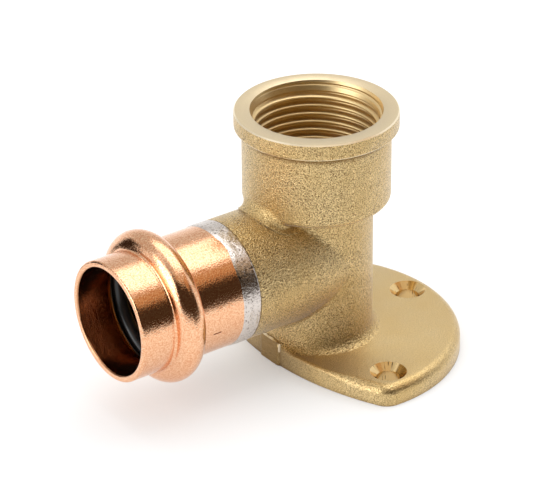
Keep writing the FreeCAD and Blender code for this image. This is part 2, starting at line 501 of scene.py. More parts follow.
# Near-white brass for broken edges: edges rubbed bright, with a painted highlight whiter than
# brass.
BROKEN_EDGE_PAINTED_HIGHLIGHT = TurnedBrass("broken_edge_brass_painted_highlight", "#FFF3DC", "#F6E4C0", 0.3, 0.001, 0.3)


@dataclass(frozen=True)
class CountersunkBrass(Finish):
    """Brass, countersunk with a fluted cutter.

    The cutter shivers, so the bright cone has fine marks that run down it towards the hole.
    """

    centre_mm: tuple[float, float]
    metal: str = "#E6C78E"
    mark: str = "#5E4520"
    marks: int = 26
    mark_range: tuple[float, float] = (-0.62, -0.5)
    uneven_mm: float = 1.4
    relief_mm: float = 0.004
    roughness: float = 0.17

    def look(self, tree: Tree, place: Socket) -> Settings:
        """Adds the cutter's chatter marks.

        Args:
            tree: The material's node tree.
            place: Where a point is, in the frame's metres.

        Returns:
            The settings and links of the shader.
        """
        centre = (self.centre_mm[0] * MM, self.centre_mm[1] * MM, 0)
        from_hole = add_node(tree, "VectorMath", {"operation": "SUBTRACT", 0: place, 1: centre})
        around = {"gradient_type": "RADIAL", "Vector": from_hole}
        angle = add_node(tree, "TexGradient", around, "Fac")
        turn = add_node(tree, "Math", {
            "operation": "MULTIPLY", 0: angle, 1: math.tau * self.marks,
        })
        wave = add_node(tree, "Math", {"operation": "SINE", 0: turn})
        uneven = add_node(tree, "TexNoise", {
            "Vector": place, "Scale": per_metre(self.uneven_mm), "Detail": 2.0,
        })
        chatter = add_node(tree, "Math", {"operation": "MULTIPLY", 0: wave, 1: uneven})
        bump = add_node(tree, "Bump", {"Height": chatter, "Distance": self.relief_mm * MM})
        depth = add_node(tree, "MapRange", {
            "Value": chatter, "From Min": self.mark_range[0], "From Max": self.mark_range[1],
        })
        colour = add_node(tree, "Mix", {
            "data_type": "RGBA", 0: depth, MIX_A: linear(self.mark), MIX_B: linear(self.metal),
        }, MIXED)
        return {
            "Base Color": colour, "Metallic": 1.0, "Roughness": self.roughness, "Normal": bump,
        }


@dataclass(frozen=True)
class GroundBrass(Finish):
    """Brass, ground off by hand on a belt.

    The belt leaves short scratches that lie level, and the heat has turned the metal brown.
    """

    name: str = "ground_brass"
    metal: str = "#C0A06A"
    burnt: str = "#5E4424"
    scratch_mm: float = 0.22
    stretch: float = 5.0
    relief_mm: float = 0.06
    roughness: float = 0.34

    def look(self, tree: Tree, place: Socket) -> Settings:
        """Adds the belt's scratches.

        Args:
            tree: The material's node tree.
            place: Where a point is, in the frame's metres.

        Returns:
            The settings and links of the shader.
        """
        drawn = add_node(tree, "Mapping", {
            "Vector": place, "Scale": (1.0, 1 / self.stretch, 1.0),
        })
        scratches = add_node(tree, "TexNoise", {
            "Vector": drawn, "Scale": per_metre(self.scratch_mm), "Detail": 3.0, "Roughness": 0.7,
        })
        bump = add_node(tree, "Bump", {"Height": scratches, "Distance": self.relief_mm * MM})
        colour = add_node(tree, "Mix", {
            "data_type": "RGBA", 0: scratches, MIX_A: linear(self.burnt), MIX_B: linear(self.metal),
        }, MIXED)
        return {
            "Base Color": colour, "Metallic": 1.0, "Roughness": self.roughness, "Normal": bump,
        }


@dataclass(frozen=True)
class BrightCopper(Finish):
    """Copper tube, drawn, rolled and bright annealed.

    It mirrors the room in orange, but the metal's crystals roughen the skin a little, so each
    reflection has a mottled face and a frayed edge. A scribed tick marks the outside, and the
    bore is painted darker, as painted shade inside the tube.
    """

    name: str = "bright_annealed_copper"
    metal: str = "#F8CBA6"
    stain: str = "#E3A277"
    # The bore's darker colour: painted shade inside the tube.
    inside: str = "#BC8864"
    scribed: str = "#7A3F1E"
    crystal_mm: float = 0.31
    crystal_range: tuple[float, float] = (0.38, 0.64)
    ripple_mm: float = 2.6
    ripple: float = 0.8
    relief_mm: float = 0.038
    rough_low: float = 0.05
    rough_high: float = 0.11
    bore_r_mm: float = 11.12
    bore_fade_mm: tuple[float, float] = (0.3, 0.1)
    tick_mm: tuple[float, float] = (-33.4, 19.1)
    tick_size_mm: tuple[float, float] = (1.9, 0.3)

    def look(self, tree: Tree, place: Socket) -> Settings:
        """Adds the crystals, the tube's ripples, the scribed tick and the painted shade in the
        bore.

        Args:
            tree: The material's node tree.
            place: Where a point is, in the frame's metres.

        Returns:
            The settings and links of the shader.
        """
        crystals = add_node(tree, "TexNoise", {
            "Vector": place, "Scale": per_metre(self.crystal_mm), "Detail": 2.0, "Roughness": 0.6,
        })
        ripples = add_node(tree, "TexNoise", {
            "Vector": place, "Scale": per_metre(self.ripple_mm), "Detail": 1.0,
        })
        height = add_node(tree, "Math", {
            "operation": "MULTIPLY_ADD", 0: ripples, 1: self.ripple, 2: crystals,
        })
        bump = add_node(tree, "Bump", {"Height": height, "Distance": self.relief_mm * MM})
        patch = add_node(tree, "MapRange", {
            "Value": crystals,
            "From Min": self.crystal_range[0], "From Max": self.crystal_range[1],
        })
        colour = add_node(tree, "Mix", {
            "data_type": "RGBA", 0: patch, MIX_A: linear(self.stain), MIX_B: linear(self.metal),
        }, MIXED)
        marked = add_node(tree, "Mix", {
            "data_type": "RGBA", 0: self.tick(tree, place), MIX_A: colour,
            MIX_B: linear(self.scribed),
        }, MIXED)
        from_axis = add_node(tree, "Mapping", {
            "Vector": place, "Location": (0, 0, -PIPE_Z * MM), "Scale": (0, 1, 1),
        })
        reach = add_node(tree, "VectorMath", {"operation": "LENGTH", 0: from_axis}, "Value")
        # Painted shade: the bore is darkened towards the inside colour.
        bore = add_node(tree, "MapRange", {
            "Value": reach,
            "From Min": (self.bore_r_mm + self.bore_fade_mm[0]) * MM,
            "From Max": (self.bore_r_mm + self.bore_fade_mm[1]) * MM,
        })
        lined = add_node(tree, "Mix", {
            "data_type": "RGBA", 0: bore, MIX_A: marked, MIX_B: linear(self.inside),
        }, MIXED)
        gloss = add_node(tree, "MapRange", {
            "Value": crystals, "To Min": self.rough_low, "To Max": self.rough_high,
        })
        return {"Base Color": lined, "Metallic": 1.0, "Roughness": gloss, "Normal": bump}

    def tick(self, tree: Tree, place: Socket) -> Socket:
        """Finds the scribed tick on the near side of the tube.

        Args:
            tree: The material's node tree.
            place: Where a point is, in the frame's metres.

        Returns:
            One on the tick, and nought elsewhere.
        """
        x, y, z = add_node(tree, "SeparateXYZ", {0: place}).node.outputs
        inside = []
        for at, middle, size in zip((x, z), self.tick_mm, self.tick_size_mm):
            inside.append(add_node(tree, "Math", {
                "operation": "COMPARE", 0: at, 1: middle * MM, 2: size * MM / 2,
            }))
        near = add_node(tree, "Math", {"operation": "LESS_THAN", 0: y, 1: 0.0})
        line = add_node(tree, "Math", {"operation": "MULTIPLY", 0: inside[0], 1: inside[1]})
        return add_node(tree, "Math", {"operation": "MULTIPLY", 0: line, 1: near})


@dataclass(frozen=True)
class FlowedSilverBraze(Finish):
    """Silver braze, melted in a flame and left as it flowed.

    It is a thin grey-white coat with a soft shine, and its flux has left small dark pits.
    """

    name: str = "flowed_silver_braze"
    metal: str = "#E2DAD3"
    dull: str = "#CFC5BE"
    pit: str = "#685850"
    pit_mm: float = 0.5
    pit_range: tuple[float, float] = (0.44, 0.32)
    flow_mm: float = 1.6
    relief_mm: float = 0.075
    rough_low: float = 0.14
    rough_high: float = 0.3

    def look(self, tree: Tree, place: Socket) -> Settings:
        """Adds the flow of the coat and its pits.

        Args:
            tree: The material's node tree.
            place: Where a point is, in the frame's metres.

        Returns:
            The settings and links of the shader.
        """
        pits = add_node(tree, "TexNoise", {
            "Vector": place, "Scale": per_metre(self.pit_mm), "Detail": 3.0, "Roughness": 0.65,
        })
        flow = add_node(tree, "TexNoise", {
            "Vector": place, "Scale": per_metre(self.flow_mm), "Detail": 2.0,
        })
        height = add_node(tree, "Math", {"operation": "ADD", 0: pits, 1: flow})
        bump = add_node(tree, "Bump", {"Height": height, "Distance": self.relief_mm * MM})
        coat = add_node(tree, "Mix", {
            "data_type": "RGBA", 0: flow, MIX_A: linear(self.dull), MIX_B: linear(self.metal),
        }, MIXED)
        deep = add_node(tree, "MapRange", {
            "Value": pits, "From Min": self.pit_range[0], "From Max": self.pit_range[1],
        })
        colour = add_node(tree, "Mix", {
            "data_type": "RGBA", 0: deep, MIX_A: coat, MIX_B: linear(self.pit),
        }, MIXED)
        gloss = add_node(tree, "MapRange", {
            "Value": flow, "To Min": self.rough_low, "To Max": self.rough_high,
        })
        return {"Base Color": colour, "Metallic": 1.0, "Roughness": gloss, "Normal": bump}


@dataclass(frozen=True)
class MouldedRubber(Finish):
    """EPDM rubber, moulded in a polished tool and lightly greased.

    It is black, with a soft grey highlight that follows the ring.
    """

    name: str = "moulded_epdm_rubber"
    rubber: str = "#141516"
    bloom: str = "#1E2021"
    bloom_mm: float = 1.2
    grain_mm: float = 0.15
    relief_mm: float = 0.003
    roughness: float = 0.28
    ior: float = 1.52

    def look(self, tree: Tree, place: Socket) -> Settings:
        """Adds a faint bloom and a fine grain.

        Args:
            tree: The material's node tree.
            place: Where a point is, in the frame's metres.

        Returns:
            The settings and links of the shader.
        """
        bloom = add_node(tree, "TexNoise", {
            "Vector": place, "Scale": per_metre(self.bloom_mm), "Detail": 2.0,
        })
        grain = add_node(tree, "TexNoise", {"Vector": place, "Scale": per_metre(self.grain_mm)})
        bump = add_node(tree, "Bump", {"Height": grain, "Distance": self.relief_mm * MM})
        colour = add_node(tree, "Mix", {
            "data_type": "RGBA", 0: bloom, MIX_A: linear(self.rubber), MIX_B: linear(self.bloom),
        }, MIXED)
        return {
            "Base Color": colour, "Roughness": self.roughness, "IOR": self.ior, "Normal": bump,
        }


@dataclass
class CastBody:
    """The casting with its cut thread: plate, column, stub, boss and rim."""

    node: str = "cast_body"
    origin: str = "solid_face"
    top_z: float = 53.5
    rim_chamfer: float = 0.25
    waterway_r: float = 9.5
    bend_x: float = 2.0
    stub_end_x: float = -23.0
    gate_width: float = 7.0
    sink_r: float = 3.75
    screw_r: float = 24.0
    thread_crest_r: float = 12.06
    thread_root_r: float = 13.22
    thread_pitch: float = 1.814
    thread_v_depth: float = 1.742
    thread_end_z: float = 36.5
    thread_fade: float = 1.6
    thread_mouth_r: float = 13.37
    flank_curl: float = 1.25
    crest_curl: float = 1.875
    lead_in_slope: float = 0.38
    first_crest_depth: float = 3.45
    first_crest_deg: float = 54.0
    rows_per_pitch: int = 18
    spokes: int = 192
    sharp_deg: float = 70.0
    join_deg: float = 40.0
    hair: float = 0.02
    slack: float = 0.1
    weld: float = 1e-4
    faced_up: float = 0.9
    edge_up: float = 0.5
    gate_front: float = -0.7

    def build(self) -> bpy.types.Object:
        """Gives a copy of the casting its helical thread and dresses each zone.

        Returns:
            The finished casting.
        """
        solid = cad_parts[self.node].data
        shape = self.open_port(solid)
        self.cut_thread(shape)
        mesh = bpy.data.meshes.new("casting")
        shape.to_mesh(mesh)
        shape.free()
        self.shade(mesh, solid)
        self.dress(mesh)
        return add_piece(mesh, Slot.CAST_BRASS, self.node)

    def open_port(self, solid: bpy.types.Mesh) -> bmesh.types.BMesh:
        """Copies the casting, joins its split corners and takes its ringed thread out.

        Args:
            solid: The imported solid's mesh.

        Returns:
            The copy. Each face holds the number of the solid's face that it came from, plus one.
        """
        shape = bmesh.new()
        shape.from_mesh(solid)
        origin = shape.faces.layers.int.new(self.origin)
        for number, face in enumerate(shape.faces):
            face[origin] = number + 1
        bmesh.ops.remove_doubles(shape, verts=shape.verts, dist=self.weld * MM)
        walls = [face for face in shape.faces if self.in_thread(face.calc_center_median() / MM)]
        bmesh.ops.delete(shape, geom=walls, context="FACES")
        return shape

    def in_thread(self, centre: Vector) -> bool:
        """Returns whether a face's centre, in millimetres, lies on the thread."""
        inside = math.hypot(centre.x, centre.y) < self.thread_mouth_r
        return inside and self.thread_end_z < centre.z < self.top_z - self.hair / 2

    def cut_thread(self, shape: bmesh.types.BMesh) -> None:
        """Puts the helical thread into the open port and joins it to the casting.

        Args:
            shape: The casting without its thread.
        """
        open_edges = [edge for edge in shape.edges if edge.is_boundary]
        spokes = self.thread_grid(shape)
        pairs = list(zip(spokes, spokes[1:]))
        middle = (self.thread_end_z + self.top_z) / 2 * MM
        for end, upper in ((0, False), (-1, True)):
            loop = [edge for edge in open_edges if (edge.verts[0].co.z > middle) == upper]
            loop.extend(shape.edges.get((one[end], two[end])) for one, two in pairs)
            bmesh.ops.bridge_loops(shape, edges=loop)
        bmesh.ops.recalc_face_normals(shape, faces=shape.faces)

    def thread_grid(self, shape: bmesh.types.BMesh) -> list[list[bmesh.types.BMVert]]:
        """Adds the thread's faces. Their rows climb with the thread and stop level at both ends.

        Args:
            shape: The casting, which takes the faces.

        Returns:
            The points on each spoke from the lower end to the upper. The last spoke is the first.
        """
        low, high = self.thread_end_z + self.hair, self.top_z - self.hair
        step = self.thread_pitch / self.rows_per_pitch
        below = int((high - low) / step) + 2 * self.rows_per_pitch
        turn = np.linspace(0, math.tau, self.spokes + 1)[:, None]
        height = self.crest_height(turn) + step * np.arange(-below, 3 * self.rows_per_pitch)
        height = np.where(height < low + self.hair / 5, low, height)
        height = np.where(height > high - self.hair / 5, high, height)
        radius = self.thread_radius(height, turn)
        points = np.stack([radius * np.cos(turn), radius * np.sin(turn), height], axis=-1) * MM
        corners: dict[tuple[int, float], bmesh.types.BMVert] = {}
        spokes = []
        for number, line in enumerate(points.tolist()):
            spoke = []
            for point in line:
                key = (number % self.spokes, round(point[2], 8))
                if key not in corners:
                    corners[key] = shape.verts.new(point)
                spoke.append(corners[key])
            spokes.append(spoke)
        for one, two in zip(spokes, spokes[1:]):
            for row in range(len(one) - 1):
                quad = dict.fromkeys((one[row], one[row + 1], two[row + 1], two[row]))
                if len(quad) > 2:
                    shape.faces.new(tuple(quad))
        return spokes

    def crest_height(self, turn: np.ndarray) -> np.ndarray:
        """Returns how high the marked crest is at an angle about the port, in radians."""
        climb = self.thread_pitch * (turn - math.radians(self.first_crest_deg)) / math.tau
        return self.top_z - self.first_crest_depth + climb

    def lead_in_r(self, height: Number) -> Number:
        """Returns the radius of the lead-in cone at a height, or at an array of them."""
        return self.thread_mouth_r - self.lead_in_slope * (self.top_z - height)

    def thread_radius(self, height: np.ndarray, turn: np.ndarray) -> np.ndarray:
        """Works out the cut thread's radius.

        Args:
            height: Heights above the plate's back, in millimetres.
            turn: Angles about the port, in radians.

        Returns:
            The radius at each height and angle, with rounded crests and roots, the lead-in
            at the mouth and the fade at the lower end.
        """
        phase = ((height - self.crest_height(turn)) / self.thread_pitch) % 1.0
        flank = 4 * np.abs(phase - 0.5) - 1
        middle = (self.thread_crest_r + self.thread_root_r) / 2
        half = (self.thread_root_r - self.thread_crest_r) / 2
        curl = np.tanh(flank * self.thread_v_depth / 2 / half * self.flank_curl)
        blunt = half * curl / math.tanh(self.crest_curl)
        fade = np.clip((height - self.thread_end_z) / self.thread_fade, 0, 1)
        cut_r = self.thread_crest_r + fade * (middle - blunt - self.thread_crest_r)
        return np.maximum(cut_r, self.lead_in_r(height))

    def shade(self, mesh: bpy.types.Mesh, solid: bpy.types.Mesh) -> None:
        """Shades the casting smooth, with the solid's own normals where its faces are kept.

        Args:
            mesh: The casting with its thread.
            solid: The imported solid's mesh.
        """
        mesh.shade_smooth()
        mesh.set_sharp_from_angle(angle=math.radians(self.sharp_deg))
        normals = [corner.vector.copy() for corner in mesh.corner_normals]
        places = [solid.vertices[loop.vertex_index].co for loop in solid.loops]
        for face in mesh.polygons:
            source = mesh.attributes[self.origin].data[face.index].value - 1
            if source < 0:
                continue
            corners = solid.polygons[source].loop_indices
            for corner in face.loop_indices:
                here = mesh.vertices[mesh.loops[corner].vertex_index].co
                nearest = min(corners, key=lambda other: (places[other] - here).length_squared)
                normals[corner] = solid.corner_normals[nearest].vector.copy()
        mesh.normals_split_custom_set(self.joined(mesh, normals))

    def joined(self, mesh: bpy.types.Mesh, normals: list[Vector]) -> list[Vector]:
        """Evens out the normals where faces meet softly.

        Args:
            mesh: The casting with its thread.
            normals: One normal for each corner of its faces.

        Returns:
            The normals, each the mean of those at the same point that lie close to it.
        """
        meeting: dict[int, list[int]] = {}
        for corner, loop in enumerate(mesh.loops):
            meeting.setdefault(loop.vertex_index, []).append(corner)
        close = math.cos(math.radians(self.join_deg))
        even = []
        for corner, loop in enumerate(mesh.loops):
            own = normals[corner]
            near = [normals[other] for other in meeting[loop.vertex_index]]
            total = sum((other for other in near if other.dot(own) > close), Vector())
            even.append(total.normalized())
        return even

    def screw_places(self) -> dict[BodyZone, tuple[float, float]]:
        """Returns the centre of each screw hole, by its zone."""
        return {
            BodyZone.BACK_SINK: (self.screw_r, 0.0),
            BodyZone.NEAR_SINK: (0.0, -self.screw_r),
            BodyZone.FAR_SINK: (0.0, self.screw_r),
        }

    def zone(self, centre: Vector, normal: Vector) -> BodyZone:
        """Finds which zone a face of the casting lies in.

        Args:
            centre: The face's centre in millimetres.
            normal: The face's normal.

        Returns:
            The zone.
        """
        x, y, z = centre
        from_port = math.hypot(x, y)
        from_pipe = math.hypot(y, z - PIPE_Z)
        inward = x * normal.x + y * normal.y < 0
        if from_port < self.thread_mouth_r and self.thread_end_z < z < self.top_z:
            on_cone = from_port > self.lead_in_r(z) - self.hair * 2
            return BodyZone.LEAD_IN if on_cone else BodyZone.THREAD
        if z > self.top_z - self.rim_chamfer and normal.z > self.edge_up:
            return BodyZone.FACED_RIM if normal.z > self.faced_up else BodyZone.RIM_EDGE
        if from_pipe < self.waterway_r + self.slack and x < self.bend_x:
            return BodyZone.WATERWAY
        if x < self.stub_end_x - self.slack:
            return BodyZone.WATERWAY
        if z > PIPE_Z and from_port < self.thread_crest_r + self.slack and inward:
            return BodyZone.WATERWAY
        for sink, place in self.screw_places().items():
            off = math.hypot(x - place[0], y - place[1])
            if off < self.sink_r and 0 < z < PLATE_T - self.hair / 2:
                return sink
        beside_gate = abs(y - GATE_Y) < self.gate_width / 2 and z < GATE_H
        if x < GATE_X + self.slack / 2 and beside_gate and normal.x < self.gate_front:
            return BodyZone.GATE
        return BodyZone.SKIN

    def dress(self, mesh: bpy.types.Mesh) -> None:
        """Gives every zone of the casting its finish.

        Args:
            mesh: The casting with its thread.
        """
        finishes = {
            BodyZone.SKIN: ShotBlastedBrass(),
            BodyZone.FACED_RIM: TurnedBrass(),
            # The rim's chamfer takes the near-white edge brass: a painted highlight.
            BodyZone.RIM_EDGE: BROKEN_EDGE_PAINTED_HIGHLIGHT,
            BodyZone.THREAD: TurnedBrass("tapped_brass", "#DABB84", "#BA965C", 0.3, 0.001, 0.26),
            # The lead-in cone is a paler copy of the tapped brass: painted light on the cone.
            BodyZone.LEAD_IN: TurnedBrass("reamed_brass_painted_light", "#F0D8A8", "#E0C48C", 0.3, 0.001, 0.4),
            BodyZone.WATERWAY: TurnedBrass("bored_brass", "#B99558", "#9C793F", 0.4, 0.01, 0.38),
            BodyZone.GATE: GroundBrass(),
        }
        for zone, place in self.screw_places().items():
            finishes[zone] = CountersunkBrass(f"countersunk_brass_{zone.name.lower()}", place)
        for zone in BodyZone:
            mesh.materials.append(finishes[zone].material())
        for face in mesh.polygons:
            face.material_index = self.zone(face.center / MM, face.normal).value


@dataclass
class CastBlend:
    """The soft corner that the mould left where the boss meets the stub's crown.

    It is a shell of metal whose face lies just under the casting's, and rises out of it only in
    the corner that it fills. It ends on the stub in a low step, and dies away on both sides.
    """

    boss_r: float = 15.05
    boss_bottom_z: float = 34.0
    boss_edge_r: float = 1.4
    stub_r: float = 12.6
    stub_ease_x: float = -12.0
    stub_ease: float = 126.4
    corner_r: float = 2.4
    least_corner: float = 0.2
    collar: float = 0.42
    reach: float = 1.9
    full_turn: float = 14.0
    end_turn: float = 44.0
    mm_per_degree: float = 0.24
    inner_r: float = 12.0
    sunk: float = 0.012
    wall: float = 1.0
    low: Point = (-20.0, -11.0, 27.5)
    high: Point = (-7.5, 11.0, 39.5)
    step: float = 0.17
    settle: int = 5
    nudge: float = 0.01
    least_slope: float = 0.25

    def build(self) -> bpy.types.Object:
        """Draws a net over the shell.

        Returns:
            The corner with the casting's skin.
        """
        points, faces = self.net()
        mesh = closed_mesh("cast_corner", points.tolist(), faces.tolist(), SOFT)
        mesh.materials.append(ShotBlastedBrass().material())
        return add_piece(mesh, Slot.CAST_BRASS)

    def depth(self, place: np.ndarray) -> np.ndarray:
        """Measures how far places lie outside the shell.

        Args:
            place: The places in millimetres, with x, y and z along the last axis.

        Returns:
            The distances, less than zero inside.
        """
        x, y, z = place[..., 0], place[..., 1], place[..., 2]
        thinned = np.maximum(x - self.stub_ease_x, 0) ** 2 / self.stub_ease
        stub = np.hypot(y, z - PIPE_Z) - self.stub_r + thinned
        out = np.hypot(x, y) - self.boss_r + self.boss_edge_r
        down = self.boss_bottom_z + self.boss_edge_r - z
        boss = np.hypot(np.maximum(out, 0), np.maximum(down, 0)) - self.boss_edge_r
        boss = boss + np.minimum(np.maximum(out, down), 0)
        turn = np.degrees(np.abs(np.arctan2(y, -x)))
        share = np.clip((self.end_turn - turn) / (self.end_turn - self.full_turn), 0, 1)
        radius = self.corner_r * (self.least_corner + (1 - self.least_corner) * eased(share))
        raised = stub - self.collar * share
        fill = np.hypot(np.maximum(radius - raised, 0), np.maximum(radius - boss, 0))
        corner = np.maximum(radius, np.minimum(raised, boss)) - fill
        corner = np.maximum(corner, boss - self.reach)
        skin = np.minimum(corner, np.minimum(stub, boss)) + self.sunk
        beside = np.maximum(stub, boss) - self.corner_r - 2 * self.step
        beside = np.maximum(beside, self.inner_r - np.hypot(x, y))
        beside = np.maximum(beside, (turn - self.end_turn) * self.mm_per_degree)
        return np.maximum(np.maximum(skin, -skin - self.wall), beside)

    def net(self) -> tuple[np.ndarray, np.ndarray]:
        """Puts a point in each cell of a grid that the shell crosses and settles it on the shell.

        Returns:
            The points and the quads of the net.
        """
        ticks = [np.arange(low, high, self.step) for low, high in zip(self.low, self.high)]
        inside = self.depth(np.stack(np.meshgrid(*ticks, indexing="ij"), axis=-1)) < 0
        cells = []
        for axis in range(3):
            edge = np.argwhere(np.diff(inside, axis=axis))
            one, two = np.eye(3, dtype=int)[[axis - 2, axis - 1]]
            cells.append(np.stack([edge, edge - one, edge - one - two, edge - two], axis=1))
        crossed = np.concatenate(cells)
        places, faces = np.unique(crossed.reshape(-1, 3), axis=0, return_inverse=True)
        points = np.array(self.low) + (places + 0.5) * self.step
        for _ in range(self.settle):
            slope = np.stack([self.slope(points, axis) for axis in range(3)], axis=-1)
            steep = np.maximum((slope**2).sum(axis=-1, keepdims=True), self.least_slope)
            points = points - slope * self.depth(points)[:, None] / steep
        return points, faces.reshape(-1, 4)

    def slope(self, points: np.ndarray, axis: int) -> np.ndarray:
        """Returns how fast the depth grows at points along one axis."""
        nudge = np.eye(3)[axis] * self.nudge
        return (self.depth(points + nudge) - self.depth(points - nudge)) / (2 * self.nudge)


@dataclass
class RimHem:
    """The crisp lower edge of the boss's rim, with the mould's sloped corner under it."""

    rim_r: float = 16.588
    boss_r: float = 15.04
    inner_r: float = 14.8
    top_z: float = 51.2
    edge_z: float = 50.3
    edge_r: float = 0.16
    edge_deg: float = 120.0
    slope_z: float = 49.4
    spokes: int = 180
    round_steps: int = 5
    sharp_deg: float = 40.0

    def build(self) -> bpy.types.Object:
        """Turns the edge's section about the port.

        Returns:
            The edge with the casting's skin, and a painted highlight on its rounding.
        """
        profile = [(self.inner_r, z) for z in (self.slope_z, self.top_z)]
        profile.append((self.rim_r, self.top_z))
        for turn in np.linspace(0, math.radians(self.edge_deg), self.round_steps):
            out = self.rim_r - self.edge_r * (1 - math.cos(turn))
            profile.append((out, self.edge_z - self.edge_r * math.sin(turn)))
        profile.append((self.boss_r, self.slope_z))
        count = len(profile)
        points = []
        for turn in np.linspace(0, math.tau, self.spokes, endpoint=False):
            points.extend((out * math.cos(turn), out * math.sin(turn), z) for out, z in profile)
        faces = ring_faces(self.spokes, count, closed=True)
        mesh = closed_mesh("rim_hem", points, faces, self.sharp_deg)
        for finish in (ShotBlastedBrass(), BROKEN_EDGE_PAINTED_HIGHLIGHT):
            mesh.materials.append(finish.material())
        # Each turn's faces run up the inside, over the top and down the wall to the painted
        # highlight on the rounding.
        for face in mesh.polygons:
            face.material_index = int(2 < face.index % count < count - 2)
        return add_piece(mesh, Slot.CAST_BRASS)


@dataclass
class PlateLip:
    """The crisper upper edge of the plate under the socket, where the casting was trimmed."""

    arc_r: float = 62.0
    arc_x: float = 49.9
    plate_edge_r: float = 2.05
    edge_r: float = 0.6
    crisp_y: float = 15.0
    end_y: float = 25.0
    sunk: float = 0.012
    inner: float = 2.7
    foot_z: float = 1.2
    column_r: float = 11.5
    column_foot_r: float = 2.2
    steps: int = 160
    round_steps: int = 10
    sharp_deg: float = 40.0

    def build(self) -> bpy.types.Object:
        """Sweeps the edge's section along the plate's front.

        Returns:
            The edge with the casting's skin.
        """
        sections = [self.section(y) for y in np.linspace(-self.end_y, self.end_y, self.steps)]
        points = [point for section in sections for point in section]
        faces = bar_faces(self.steps, len(sections[0]))
        mesh = closed_mesh("plate_lip", points, faces, self.sharp_deg)
        mesh.materials.append(ShotBlastedBrass().material())
        return add_piece(mesh, Slot.CAST_BRASS)

    def section(self, y: float) -> list[Point]:
        """Draws one section of the edge.

        Args:
            y: How far to the side the section stands, in millimetres.

        Returns:
            Its points, from the wall's foot over the edge and back.
        """
        far = held((abs(y) - self.crisp_y) / (self.end_y - self.crisp_y))
        radius = self.edge_r + (self.plate_edge_r - self.edge_r) * eased(far)
        turns = np.linspace(0, math.pi / 2, self.round_steps)
        insets = [radius * (1 - math.cos(turn)) for turn in turns]
        insets.extend(np.linspace(radius, self.inner, self.round_steps)[1:])
        profile = [(0.0, self.foot_z)]
        for inset in insets:
            off = max(1 - inset / radius, 0.0)
            drop = radius * (1 - math.sqrt(1 - off * off))
            profile.append((inset, PLATE_T - self.sunk - drop))
        profile.append((self.inner, self.foot_z))
        swing = math.asin(y / self.arc_r)
        points = []
        for inset, z in profile:
            reach = self.arc_r - self.sunk - inset
            x = self.arc_x - reach * math.cos(swing)
            side = reach * math.sin(swing)
            rise = self.foot_rise(x, side) if z > self.foot_z else 0.0
            points.append((x, side, z + rise))
        return points

    def foot_rise(self, x: float, y: float) -> float:
        """Works out how far the column's foot stands above the plate at a place.

        Args:
            x: The place along the pipe, in millimetres.
            y: The place across it.

        Returns:
            The rise in millimetres.
        """
        beyond = min(max(math.hypot(x, y) - self.column_r, 0.0), self.column_foot_r)
        inner = self.column_foot_r - beyond
        return self.column_foot_r - math.sqrt(self.column_foot_r**2 - inner * inner)


@dataclass
class GateBurr:
    """The torn burr that the grinder left along the gate's upper edge and down its near corner."""

    near_y: float = -2.6
    far_y: float = 2.2
    side_y: float = -3.8
    side_z: tuple[float, float] = (3.2, 5.1)
    corner_r: float = 1.0
    corner_deg: tuple[float, float, float] = (207.0, 225.0, 243.0)
    corner_lift: float = 0.4
    sunk: float = 0.05
    height: float = 0.5
    least: float = 0.02
    width: float = 0.8
    mean: float = 0.55
    lean: float = 0.2
    tears: float = 7.0
    tear_seed: tuple[float, float] = (3.1, 0.4)
    tear_noise: tuple[float, float, int] = (0.7, 2.0, 3)
    steps: int = 40

    def build(self) -> bpy.types.Object:
        """Draws both torn ridges.

        Returns:
            The ridges, near-white with the painted highlight of the other broken edges.
        """
        points: list[Point] = []
        faces: list[Face] = []
        for upright in (False, True):
            start = len(points)
            for share in np.linspace(0, 1, self.steps):
                points.extend(self.section(share, upright))
            ridge = bar_faces(self.steps, 3)
            faces.extend(tuple(start + corner for corner in face) for face in ridge)
        mesh = closed_mesh("gate_burr", points, faces, FACETED)
        mesh.materials.append(BROKEN_EDGE_PAINTED_HIGHLIGHT.material())
        return add_piece(mesh, Slot.CAST_BRASS)

    def section(self, share: float, upright: bool) -> list[Point]:
        """Draws one section of a ridge.

        Args:
            share: The place along the ridge, from nought to one.
            upright: Whether it is the ridge down the near corner.

        Returns:
            Its three points, in millimetres.
        """
        seed = Vector((share * self.tears, self.tear_seed[0] * upright, self.tear_seed[1]))
        tear = noise.fractal(seed, *self.tear_noise)
        taper = math.sin(math.pi * share) ** 0.5
        rise = self.height * taper * (self.mean + (1 - self.mean) * tear)
        lifts = (-self.sunk, max(rise, self.least), -self.sunk)
        if not upright:
            y = self.near_y + (self.far_y - self.near_y) * share
            peak = GATE_X + self.width * (self.mean + self.lean * tear)
            across = (GATE_X, peak, GATE_X + self.width)
            return [(x, y, GATE_H + lift) for x, lift in zip(across, lifts)]
        z = self.side_z[0] + (self.side_z[1] - self.side_z[0]) * share
        x, y = GATE_X + self.corner_r, self.side_y + self.corner_r
        points = []
        for turn, lift in zip(np.radians(self.corner_deg), lifts):
            reach = self.corner_r + lift * self.corner_lift
            points.append((x + reach * math.cos(turn), y + reach * math.sin(turn), z))
        return points


@dataclass
class PressSocket:
    """The copper socket, which keeps its solid's shape."""

    node: str = "press_socket"

    def build(self) -> bpy.types.Object:
        """Dresses the solid.

        Returns:
            The socket with its bright copper finish.
        """
        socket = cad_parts[self.node]
        socket.material_slots[0].material = BrightCopper().material()
        return socket


